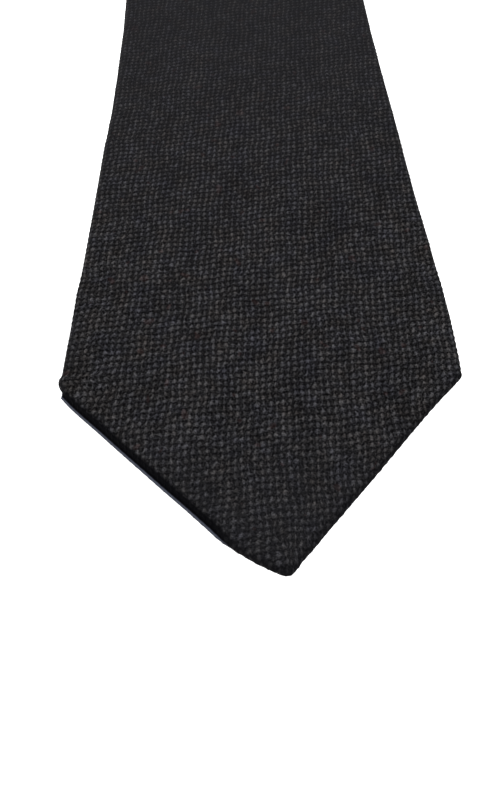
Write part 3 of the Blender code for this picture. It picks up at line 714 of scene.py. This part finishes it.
def pointedCloth(end, q, faceCount, flapCount):
    # the pointed end: face, rolled edges, hem and the flaps beside the lining's opening
    within = end.toTie(np.maximum(q, end.corner))
    core = halfWidth(within) - thickness(within) / 2
    x = core[:, None] * faceColumns(faceCount)
    t = end.chevron(q[:, None], x)
    s = end.toTie(t)
    moveX, moveT = outlineShift(x, t) if end is bladeEnd else (0, 0)
    points = place(end.toTie(t + moveT), x + moveX, thickness(s) / 2 + clothHeight(s, x, s, x))
    face = (points, np.stack([x, t], axis=-1), np.zeros_like(x), end is tailEnd)

    rimX, rimT, normalX, normalT, mitre, side = rimStops(end, x, t)
    goalX, goalT = openingEdge(end, rimX, rimT, side)
    moveX, moveT = outlineShift(rimX, rimT) if end is bladeEnd else (0, 0)
    half = thickness(end.toTie(rimT)) / 2
    shoulderEnd = [end.corner + step for step in lipReach["end"]]
    lipShare = smooth(-rimX, *lipReach["start"]) * (1 - smooth(rimT, *shoulderEnd))
    if end is not bladeEnd:
        lipShare = np.zeros_like(rimX)
    # the painted shade on the rolled edge runs from the point to the shoulder's corner
    rolledEdgeShadeShare = 1 - smooth(rimT, *[end.corner + step for step in rolledEdgeShadeSpan["end"]])
    strips = []
    for k in range(rollSteps + 1):
        turn = math.pi * k / rollSteps
        lipOut, lipUp, lipBand = (np.interp(k / rollSteps, lipStops, column) for column in zip(*edgeLip))
        out = between(math.sin(turn), lipOut, lipShare)
        up = between(math.cos(turn), lipUp, lipShare)
        u = rimX + normalX * turn * half
        v = rimT + normalT * turn * half
        height = clothHeight(end.toTie(rimT), u, end.toTie(v), rimX)
        if k > 2:
            height = height * (1 - lipReach["flatter"] * lipShare)
        reach = out * (half + height) * mitre
        # how much painted shade each step round the roll takes
        rolledEdgeShade = rolledEdgeShadeSpan["share"] * math.sin(math.pi * min(1.1 * k / rollSteps, 1)) * rolledEdgeShadeShare
        strips.append((place(end.toTie(rimT + reach * normalT + moveT), rimX + reach * normalX + moveX,
                             up * (half + height)),
                       np.stack([u, v], axis=-1), between(rolledEdgeShade, lipBand, lipShare)))
    width = np.hypot(goalX - rimX, goalT - rimT)
    blank = np.zeros_like(rimX)
    for f in np.linspace(0, 1, flapCount)[1:]:
        backX = rimX + (goalX - rimX) * f
        backT = rimT + (goalT - rimT) * f
        backS = end.toTie(backT)
        u = rimX + normalX * (math.pi * half + width * f)
        v = rimT + normalT * (math.pi * half + width * f)
        n = flapSink(backS, width * (1 - f), rimX < 0) - thickness(backS) / 2
        n = n - clothHeight(backS, u, end.toTie(v), backX)
        strips.append((place(end.toTie(backT + moveT * (1 - f)), backX + moveX * (1 - f), n),
                       np.stack([u, v], axis=-1), blank))
    goalS = end.toTie(goalT)
    for inward, depth in outerCloth["foldedUnder"]:
        n = flapSink(goalS, blank, rimX < 0) - thickness(goalS) / 2 + tieShape["cloth"] * depth
        backX = goalX - (goalX - rimX) / width * inward
        backT = goalT - (goalT - rimT) / width * inward
        strips.append((place(end.toTie(backT), backX, n),
                       np.stack([u + normalX * inward, v + normalT * inward], axis=-1), blank))
    return [face, (*(np.stack(rows) for rows in zip(*strips)), end is bladeEnd)]


def evenRows(start, end, spacing, fine=()):
    # fine: (centre, reach, spacing) for closer rows
    marks = [start]
    while marks[-1] < end - spacing * 0.5:
        step = spacing
        for centre, reach, close in fine:
            if abs(marks[-1] - centre) < reach:
                step = min(step, close)
        marks.append(marks[-1] + step)
    marks[-1] = end
    return np.array(marks)


fineFace = outerCloth["fineFace"]
fineRows = outerCloth["fineRows"] * 1
turnFine = (tieShape["turnEnd"], 0.016, 0.0008)
bladeSeamFine = (tieShape["bladeSeam"], 0.042, 0.0012)
tailSeamFine = (tieShape["tailSeam"], 0.042, 0.0012)
foldFine = (foldCentre, 0.012, 0.0004)


def clothPiece(name, grids):
    piece = meshFromGrids(name, grids, cloth, "edgeBand")
    print(name, len(piece.data.polygons), "faces")
    return piece


def plainLength(name, start, end, faceCount, seam, fine):
    rows = evenRows(start, end, outerCloth["plainRows"], fine)
    return clothPiece(name, [clothLength(rows, faceCount, outerCloth["plainFlaps"], seam=seam)])


frontRows = evenRows(bladeEnd.start, outerCloth["frontEnd"], fineRows)
frontGrids = pointedCloth(bladeEnd, frontRows, fineFace, outerCloth["bladeFlaps"])
bladeFront = clothPiece("blade_cloth_point", frontGrids)
middleRows = evenRows(outerCloth["frontEnd"], turnMiddle, fineRows)
middleGrid = clothLength(middleRows, fineFace, outerCloth["bladeFlaps"], end=bladeEnd)
bladeMiddle = clothPiece("blade_cloth_middle", [middleGrid])
bladeUpper = plainLength("blade_cloth_upper", turnMiddle, tieShape["bladeSeam"], outerCloth["upperFace"],
                         tieShape["bladeSeam"], (turnFine, bladeSeamFine))
neckUpper = plainLength("neck_cloth_upper", tieShape["bladeSeam"], foldCentre, outerCloth["neckFace"],
                        tieShape["bladeSeam"], (foldFine, bladeSeamFine))
neckLower = plainLength("neck_cloth_lower", foldCentre, tieShape["tailSeam"], outerCloth["neckFace"],
                        tieShape["tailSeam"], (foldFine, tailSeamFine))
tailRows = evenRows(tailEnd.start, outerCloth["tailBreak"], outerCloth["tailRows"])
tailGrids = pointedCloth(tailEnd, tailRows, outerCloth["tailFace"], outerCloth["plainFlaps"])
tailCloth = clothPiece("tail_cloth", tailGrids)
tailUpper = plainLength("tail_cloth_upper", tieShape["tailSeam"], length - outerCloth["tailBreak"],
                        outerCloth["tailFace"], tieShape["tailSeam"], (tailSeamFine,))


# The layers inside the shell run from edge to edge of the outer cloth, less an inset.
def layerGrid(end, q, shares, level, inset):
    within = end.toTie(np.maximum(q, end.corner)) if end else q
    core = halfWidth(within) - thickness(within) / 2 - inset
    x = core[:, None] * shares
    t = end.chevron(q[:, None], x) if end else np.repeat(q[:, None], len(shares), axis=1)
    s = end.toTie(t) if end else t
    return place(s, x, level(s)), np.stack([x, t], axis=-1)


def layerPiece(name, end, q, shares, low, high, inset, material):
    top, flat = layerGrid(end, q, shares, high, inset)
    bottom, flat = layerGrid(end, q, shares, low, inset)
    return meshFromGrids(name, closedSlab(top, bottom, flat, end is tailEnd), material)


evenShares = np.linspace(-1, 1, 25)
pointShares = faceColumns(41)
woolShape = {"overFlaps": 0.00055, "underFace": 0.00015, "inset": 0.0004, "fromPoint": 0.0006,
             "rows": 0.0060, "pointRows": 0.0030}


def woolLow(s):
    overFlaps = tieShape["cloth"] + woolShape["overFlaps"] + tieShape["flapDrop"] * layerShare(s)
    return -thickness(s) / 2 + overFlaps


def woolHigh(s):
    return thickness(s) / 2 - tieShape["cloth"] - woolShape["underFace"]


def interlining(name, start, finish, fine=(), end=None):
    rows = evenRows(start, finish, woolShape["pointRows" if end else "rows"], fine)
    shares = pointShares if end else evenShares
    return layerPiece(name, end, rows, shares, woolLow, woolHigh, woolShape["inset"], wool)


upperMiddle = (tieShape["turnEnd"] + foldStart) / 2
woolTurnFine = (tieShape["turnEnd"], 0.012, 0.0008)
woolPieces = {
    "blade": interlining("interlining_blade", bladeEnd.start + woolShape["fromPoint"], turnMiddle,
                         ((tieShape["turnStart"], 0.010, 0.0008),), bladeEnd),
    "turn": interlining("interlining_turned", turnMiddle, upperMiddle, (woolTurnFine,)),
    "neck": interlining("interlining_neck", upperMiddle, foldCentre, (foldFine,)),
    "folded": interlining("interlining_folded", foldCentre, length - outerCloth["tailBreak"], (foldFine,)),
    "tail": interlining("interlining_tail_point", tailEnd.start + woolShape["fromPoint"],
                        outerCloth["tailBreak"], (), tailEnd),
}

liningShape = {"inset": 0.0012, "pastTack": 0.009, "overFlaps": 0.00012, "thickness": 0.00020, "rows": 0.0022}


def lining(name, end, sag):
    # satin that fills the opening, with a soft billow between its sewn edges
    reach = end.tack + liningShape["pastTack"]

    def satinLow(s):
        billow = sag * np.sin(np.clip(end.toTie(s) / reach, 0, 1) * math.pi) * (1 + 0.5 * np.sin(s * 190))
        plain = tieShape["cloth"] + liningShape["overFlaps"] + tieShape["flapDrop"] * layerShare(s)
        return -thickness(s) / 2 + plain - np.abs(billow)

    def satinHigh(s):
        return satinLow(s) + liningShape["thickness"]

    rows = evenRows(end.start + liningShape["inset"], reach, liningShape["rows"])
    return layerPiece(name, end, rows, pointShares, satinLow, satinHigh, liningShape["inset"], satin)


bladeLining = lining("blade_satin_lining", bladeEnd, 0.00009)
tailLining = lining("tail_satin_lining", tailEnd, 0.00006)
print("layers made")


def boxPlace(name):
    low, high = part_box(name)
    return low, high, (low + high) / 2


trimEdge = {"across": 0.03, "along": 0.07, "least": 0.06}       # thinner over these shares at its edges


# A thin sewn piece in its node's box; rise(f, g) lifts it, with f and g from -1 to 1 across and along it.
def trimSlab(name, nodeName, material, shape, rise):
    low, high, middle = boxPlace(nodeName)
    g, f = np.meshgrid(np.linspace(-1, 1, shape["rows"]), np.linspace(-1, 1, shape["columns"]), indexing="ij")
    sizeX, sizeY, sizeZ = (high - low) / 2
    edgeX = 1 - np.clip((np.abs(f) - 1) / trimEdge["across"] + 1, 0, 1) ** 2
    edgeY = 1 - np.clip((np.abs(g) - 1) / trimEdge["along"] + 1, 0, 1) ** 2
    body = sizeZ * between(trimEdge["least"], 1, np.minimum(edgeX, edgeY))
    flat = np.stack([f * sizeX, g * sizeY], axis=-1)
    top, bottom = (np.stack([middle.x + f * sizeX, middle.y + g * sizeY, middle.z + rise(f, g) + sign * body],
                            axis=-1) for sign in (1, -1))
    return meshFromGrids(name, closedSlab(top, bottom, flat, False), material)


labelShape = {"columns": 61, "rows": 25, "ripple": 0.00008}
tagShape = {"columns": 17, "rows": 33, "sag": 0.0006}


def labelRise(f, g):
    return labelShape["ripple"] * np.sin(f * 9 + 1) * np.cos(g * 3)


def tagRise(f, g):
    return -tagShape["sag"] * (1 - (g + 1) / 2) ** 2


labelPiece = trimSlab("blank_label", "label", labelSatin, labelShape, labelRise)
tagPiece = trimSlab("blank_content_tag", "content_tag", tagSatin, tagShape, tagRise)

loopShape = {
    "columns": 33, "rows": 21,
    "groove": 0.00010, "grooveAt": 0.72, "grooveWidth": 0.06,       # along each long edge
    "edgeFrom": 0.86, "edgeThin": 0.75,
    "bendFrom": 0.97, "bendTo": 0.25,            # shares of each half's length
}


def loopHalf(name, side):
    # from the sewn end, where f is 0, to the middle of the back
    low, high, middle = boxPlace("keeper_loop")
    rows = np.linspace(-1, 1, loopShape["rows"])
    g, f = np.meshgrid(rows, np.linspace(0, 1, loopShape["columns"]), indexing="ij")
    x = (high.x if side > 0 else low.x) * (1 - f)
    y = middle.y + g * (high.y - low.y) / 2
    edge = np.clip((np.abs(g) - loopShape["edgeFrom"]) / (1 - loopShape["edgeFrom"]), 0, 1) ** 2
    offGroove = (np.abs(g) - loopShape["grooveAt"]) / loopShape["grooveWidth"]
    groove = loopShape["groove"] * np.exp(-offGroove ** 2)
    body = (high.z - low.z) / 2 * (1 - loopShape["edgeThin"] * edge) - groove
    flat = np.stack([x, y - middle.y], axis=-1)
    top, bottom = (np.stack([x, y, middle.z + sign * body], axis=-1) for sign in (1, -1))
    return meshFromGrids(name, closedSlab(top, bottom, flat, side > 0), cloth)


loopHalves = {"left": loopHalf("keeper_loop_left", -1), "right": loopHalf("keeper_loop_right", 1)}
print("trim made")


stitching = {
    "thread": 0.00016, "slipPitch": 0.0060, "slipLength": 0.0032, "slipLean": 0.12, "slipRows": 0.0010,
    "slipDepth": 0.45,                           # as a share of the flap's drop
    "trimPitch": 0.0011, "trimLength": 0.0009, "trimLean": 0.25, "inset": 0.0004,
    "tackPitch": 0.00032, "tackLength": 0.0018, "tackLean": 1.35, "tackGap": 0.004,
}


# Geometry Nodes set one stitch after another along a row.
def stitchTree():
    tree = bpy.data.node_groups.new("stitchRow", "GeometryNodeTree")
    for name, kind, value in (("Geometry", "Geometry", None), ("Stitch Pitch", "Float", 0.0012),
                              ("Stitch Length", "Float", 0.0010), ("Thread Radius", "Float", 0.00016),
                              ("Lean", "Float", 0.3), ("Material", "Material", None)):
        socket = tree.interface.new_socket(name=name, in_out="INPUT", socket_type="NodeSocket" + kind)
        if value is not None:
            socket.default_value = value
    tree.interface.new_socket(name="Geometry", in_out="OUTPUT", socket_type="NodeSocketGeometry")
    given = node(tree, "NodeGroupInput").outputs
    row = node(tree, "GeometryNodeMeshToCurve")
    wire(tree, given["Geometry"], row.inputs["Mesh"])
    spaced = node(tree, "GeometryNodeResampleCurve", mode="LENGTH")
    wire(tree, row.outputs["Curve"], spaced.inputs["Curve"])
    wire(tree, given["Stitch Pitch"], spaced.inputs["Length"])
    # one stitch: a shallow arc of thread
    arc = node(tree, "GeometryNodeCurveQuadraticBezier")
    arc.inputs["Resolution"].default_value = 5
    for source, share, corner, axis in (("Stitch Length", -0.5, "Start", "X"),
                                        ("Stitch Length", 0.5, "End", "X"),
                                        ("Thread Radius", 1.5, "Middle", "Z")):
        spot = node(tree, "ShaderNodeCombineXYZ")
        wire(tree, calculate(tree, "MULTIPLY", given[source], share), spot.inputs[axis])
        wire(tree, spot.outputs[0], arc.inputs[corner])
    circle = node(tree, "GeometryNodeCurvePrimitiveCircle")
    circle.inputs["Resolution"].default_value = 6
    wire(tree, given["Thread Radius"], circle.inputs["Radius"])
    tube = node(tree, "GeometryNodeCurveToMesh")
    tube.inputs["Fill Caps"].default_value = True
    wire(tree, arc.outputs["Curve"], tube.inputs["Curve"])
    wire(tree, circle.outputs["Curve"], tube.inputs["Profile Curve"])
    # it lies along the row and leans in the cloth's plane
    align = node(tree, "FunctionNodeAlignRotationToVector", axis="X", pivot_axis="Z")
    wire(tree, node(tree, "GeometryNodeInputTangent").outputs[0], align.inputs["Vector"])
    leanAngle = node(tree, "ShaderNodeCombineXYZ")
    wire(tree, given["Lean"], leanAngle.inputs["Z"])
    toRotation = node(tree, "FunctionNodeEulerToRotation")
    wire(tree, leanAngle.outputs[0], toRotation.inputs[0])
    tilt = node(tree, "FunctionNodeRotateRotation", rotation_space="LOCAL")
    wire(tree, align.outputs[0], tilt.inputs["Rotation"])
    wire(tree, toRotation.outputs[0], tilt.inputs["Rotate By"])
    onPoints = node(tree, "GeometryNodeInstanceOnPoints")
    wire(tree, spaced.outputs["Curve"], onPoints.inputs["Points"])
    wire(tree, tube.outputs["Mesh"], onPoints.inputs["Instance"])
    wire(tree, tilt.outputs[0], onPoints.inputs["Rotation"])
    realize = node(tree, "GeometryNodeRealizeInstances")
    wire(tree, onPoints.outputs["Instances"], realize.inputs[0])
    shade = node(tree, "GeometryNodeSetShadeSmooth")
    wire(tree, realize.outputs[0], shade.inputs[0])
    setMaterial = node(tree, "GeometryNodeSetMaterial")
    wire(tree, shade.outputs[0], setMaterial.inputs["Geometry"])
    wire(tree, given["Material"], setMaterial.inputs["Material"])
    wire(tree, setMaterial.outputs[0], node(tree, "NodeGroupOutput").inputs[0])
    return tree


stitchGroup = stitchTree()


def stitchRow(name, points, kind, lean, upward):
    # kind is "slip", "trim" or "tack"; upward False turns the stitches' crowns to the underside
    points = np.asarray(points, float)
    if not upward:
        points = points * np.array([1, 1, -1])
    mesh = bpy.data.meshes.new(name)
    mesh.from_pydata(points.tolist(), [(k, k + 1) for k in range(len(points) - 1)], [])
    thing = addObject(name, mesh)
    modifier = thing.modifiers.new("stitches", "NODES")
    modifier.node_group = stitchGroup
    wanted = {"Stitch Pitch": stitching[kind + "Pitch"], "Stitch Length": stitching[kind + "Length"],
              "Thread Radius": stitching["thread"], "Lean": lean, "Material": thread}
    for item in stitchGroup.interface.items_tree:
        if item.item_type == "SOCKET" and item.in_out == "INPUT" and item.name in wanted:
            modifier[item.identifier] = wanted[item.name]
    evaluated = thing.evaluated_get(bpy.context.evaluated_depsgraph_get())
    plain = bpy.data.meshes.new_from_object(evaluated)
    thing.modifiers.clear()
    thing.data = plain
    if not upward:
        plain.transform(Matrix.Scale(-1, 4, Vector((0, 0, 1))))
        plain.flip_normals()
    return thing


def rowInBox(name, nodeName, kind, lean, upward=False):
    # a row along the longer middle line of its node's box
    low, high, middle = boxPlace(nodeName)
    inset = stitching["inset"]
    start, end = Vector(middle), Vector(middle)
    axis = 0 if high.x - low.x > high.y - low.y else 1
    start[axis], end[axis] = low[axis] + inset, high[axis] - inset
    points = [start.lerp(end, f) for f in (0, *np.linspace(0.05, 0.95, 12), 1)]
    row = stitchRow(name, points, kind, lean, upward)
    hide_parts(nodeName)
    return row


def slipStitch(name, start, end):
    s = evenRows(start, end, stitching["slipRows"])
    x = tieShape["overFlap"] - stitching["inset"]
    n = -thickness(s) / 2 + tieShape["flapDrop"] * stitching["slipDepth"]
    return stitchRow(name, place(s, x, n), "slip", stitching["slipLean"], True)


sewing = {}
for nodeName, rowName in (("label_stitch_left", "label_stitches_left"),
                          ("label_stitch_right", "label_stitches_right"),
                          ("keeper_loop_stitch_left", "loop_stitches_left"),
                          ("keeper_loop_stitch_right", "loop_stitches_right")):
    sewing[rowName] = (rowInBox(rowName, nodeName, "trim", stitching["trimLean"]), "blade_lower")
sewing["tag_stitches"] = (rowInBox("tag_stitches", "content_tag_stitch", "trim", 0.0), "tag")
tackLean = stitching["tackLean"]
sewing["blade_bar_tack"] = (rowInBox("blade_bar_tack", "bar_tack_blade", "tack", tackLean), "blade_lower")
sewing["tail_bar_tack"] = (rowInBox("tail_bar_tack", "bar_tack_tail", "tack", tackLean, True), "tail")
slipStart = tieShape["bladeTack"] + stitching["tackGap"]
slipEnd = length - tieShape["tailTack"] - stitching["tackGap"]
slipPieces = {
    "blade": slipStitch("slip_stitches_blade", slipStart, turnMiddle),
    "turn": slipStitch("slip_stitches_turned", turnMiddle, upperMiddle),
    "neck": slipStitch("slip_stitches_neck", upperMiddle, foldCentre),
    "folded": slipStitch("slip_stitches_folded", foldCentre, slipEnd),
}
print("stitches made")


def bendAt(piece):
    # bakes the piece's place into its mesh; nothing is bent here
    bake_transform(piece)


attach(bladeFront, "blade_lower")
for piece in (bladeMiddle, woolPieces["blade"], slipPieces["blade"]):
    bendAt(piece)
for piece in (bladeUpper, woolPieces["turn"], slipPieces["turn"]):
    bendAt(piece)
for piece in (neckUpper, woolPieces["neck"], slipPieces["neck"]):
    bendAt(piece)
for piece in (neckLower, woolPieces["folded"], slipPieces["folded"]):
    bendAt(piece)
for piece in (tailCloth, tailUpper, woolPieces["tail"], tailLining):
    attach(piece, "tail")
for piece in (bladeLining, labelPiece):
    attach(piece, "blade_lower")
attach(tagPiece, "tag")
for row, bodyName in sewing.values():
    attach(row, bodyName)
low, high, middle = boxPlace("keeper_loop")
for word, side in (("left", -1), ("right", 1)):
    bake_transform(loopHalves[word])

for piece, nodes, slotName in (
        (bladeFront, ["blade_shell_lower"], "shell_cloth"),
        (bladeMiddle, ["blade_turn_shell"], "shell_cloth"),
        (bladeUpper, ["blade_shell_upper"], "shell_cloth"),
        (neckUpper, ["neck_shell_upper"], "shell_cloth"),
        (neckLower, ["neck_fold_shell", "neck_shell_lower"], "shell_cloth"),
        (tailUpper, ["tail_shell"], "shell_cloth"),
        (tailCloth, ["tail_shell"], "shell_cloth"),
        (loopHalves["left"], ["keeper_loop"], "shell_cloth"),
        (loopHalves["right"], ["keeper_loop"], "shell_cloth"),
        (woolPieces["blade"], ["interlining_blade_lower", "interlining_turn"], "wool_interlining"),
        (woolPieces["turn"], ["interlining_upper"], "wool_interlining"),
        (woolPieces["neck"], ["interlining_upper"], "wool_interlining"),
        (woolPieces["folded"], ["interlining_fold", "interlining_tail"], "wool_interlining"),
        (woolPieces["tail"], ["interlining_tail"], "wool_interlining"),
        (bladeLining, ["blade_lining"], "satin_lining"),
        (tailLining, ["tail_lining"], "satin_lining"),
        (labelPiece, ["label"], "label_satin"),
        (tagPiece, ["content_tag"], "tag_satin"),
        (slipPieces["blade"], ["slip_stitch_blade_lower", "slip_stitch_turn"], "thread"),
        (slipPieces["turn"], ["slip_stitch_upper"], "thread"),
        (slipPieces["neck"], ["slip_stitch_upper"], "thread"),
        (slipPieces["folded"], ["slip_stitch_fold", "slip_stitch_tail"], "thread")):
    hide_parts(*nodes)


def layFlat(piece, layers=1):
    # prints a sheet's flat size and area, from the flat places of its own cloth
    mesh = piece.data
    flat = np.empty(len(mesh.loops) * 2)
    mesh.uv_layers["flatCloth"].data.foreach_get("uv", flat)
    flat = flat.reshape(-1, 2)
    starts = np.array([polygon.loop_start for polygon in mesh.polygons])
    totals = np.array([polygon.loop_total for polygon in mesh.polygons])
    area = 0
    for count in (3, 4):
        corners = flat[starts[totals == count][:, None] + np.arange(count)]
        after = np.roll(corners, -1, axis=1)
        crossed = corners[..., 0] * after[..., 1] - corners[..., 1] * after[..., 0]
        area += np.abs(crossed.sum(axis=1)).sum() / 2
    size = flat.max(axis=0) - flat.min(axis=0)
    area = min(area / layers, float(size[0] * size[1]))
    print(f"sheet {piece.name}: {size[0] * 1000:.0f} by {size[1] * 1000:.0f} mm, {area * 1e4:.0f} cm2")


for piece, restsOn in ((tailCloth, []), (tailUpper, []), (neckLower, []), (neckUpper, [neckLower, tailUpper]),
                       (bladeUpper, [tailUpper, tailCloth]), (bladeMiddle, [tailCloth]), (bladeFront, []),
                       (loopHalves["left"], [bladeMiddle]), (loopHalves["right"], [bladeMiddle])):
    layFlat(piece, 2 if piece in loopHalves.values() else 1)
for piece, restsOn in ((woolPieces["blade"], bladeFront), (woolPieces["turn"], bladeUpper),
                       (woolPieces["neck"], neckUpper), (woolPieces["folded"], neckLower),
                       (woolPieces["tail"], tailCloth), (bladeLining, bladeFront), (tailLining, tailCloth),
                       (labelPiece, bladeMiddle), (tagPiece, bladeMiddle)):
    layFlat(piece, 2)


stageLook = {
    "floor": (0.90, 0.90, 0.91), "roughness": 0.9, "glow": 0.9, "floorHalf": 3, "floorDrop": 0.0003,
    "world": 1.0, "aim": 0.08,                   # the lamps face this far up the blade
}
reach = stageLook["floorHalf"]
mesh = bpy.data.meshes.new("studio_floor")
corners = [(x * reach, y * reach, 0) for x, y in ((-1, -1), (1, -1), (1, 1), (-1, 1))]
mesh.from_pydata(corners, [], [(0, 1, 2, 3)])
floor = addObject("studio_floor", mesh)
floor.location.z = -stageLook["floorDrop"]
floorMaterial, tree, shader = newMaterial("plain_pale_floor")
shader.inputs["Base Color"].default_value = (*stageLook["floor"], 1)
shader.inputs["Roughness"].default_value = stageLook["roughness"]
shader.inputs["Emission Color"].default_value = (1, 1, 1, 1)
shader.inputs["Emission Strength"].default_value = stageLook["glow"]
mesh.materials.append(floorMaterial)
world = bpy.data.worlds.new("studio_world")
bpy.context.scene.world = world
world.use_nodes = True
world.node_tree.nodes["Background"].inputs["Color"].default_value = (1, 1, 1, 1)
world.node_tree.nodes["Background"].inputs["Strength"].default_value = stageLook["world"]


def softLight(name, offset, size, power):
    data = bpy.data.lights.new(name, "AREA")
    data.shape = "DISK"
    data.size = size
    data.energy = power
    lamp = addObject(name, data)
    target = Vector((0, tipY + stageLook["aim"], 0))
    lamp.location = target + Vector(offset)
    lamp.rotation_mode = "QUATERNION"
    lamp.rotation_quaternion = (target - lamp.location).to_track_quat("-Z", "Y")
    return lamp


lamps = [softLight("key_softbox", (-0.55, 0.75, 0.95), 0.55, 9.0),
         softLight("fill_softbox", (0.9, -0.3, 0.9), 1.0, 3.0)]

cameraPlace = {"offset": (-0.0052, -0.0224, 0.1128), "pitch": 61.57, "yaw": 1.90, "roll": -0.25, "lens": 27.9}
pitch, yaw, roll = (math.radians(cameraPlace[key]) for key in ("pitch", "yaw", "roll"))
forward = Vector((math.sin(yaw) * math.cos(pitch), math.cos(yaw) * math.cos(pitch), -math.sin(pitch)))
right = Vector((math.cos(yaw), -math.sin(yaw), 0))
up = right.cross(forward)
right, up = (math.cos(roll) * right + math.sin(roll) * up, math.cos(roll) * up - math.sin(roll) * right)
camera = addObject("camera", bpy.data.cameras.new("camera"))
camera.data.lens = cameraPlace["lens"]
camera.data.sensor_width = 36
camera.data.clip_start = 0.005
camera.matrix_world = Matrix((
    (right.x, up.x, -forward.x, cameraPlace["offset"][0]),
    (right.y, up.y, -forward.y, cameraPlace["offset"][1] + yStart - tieShape["pointRound"]),
    (right.z, up.z, -forward.z, cameraPlace["offset"][2]),
    (0, 0, 0, 1)))
bpy.context.scene.camera = camera
bpy.context.scene.view_settings.view_transform = "Standard"
print("stage set")
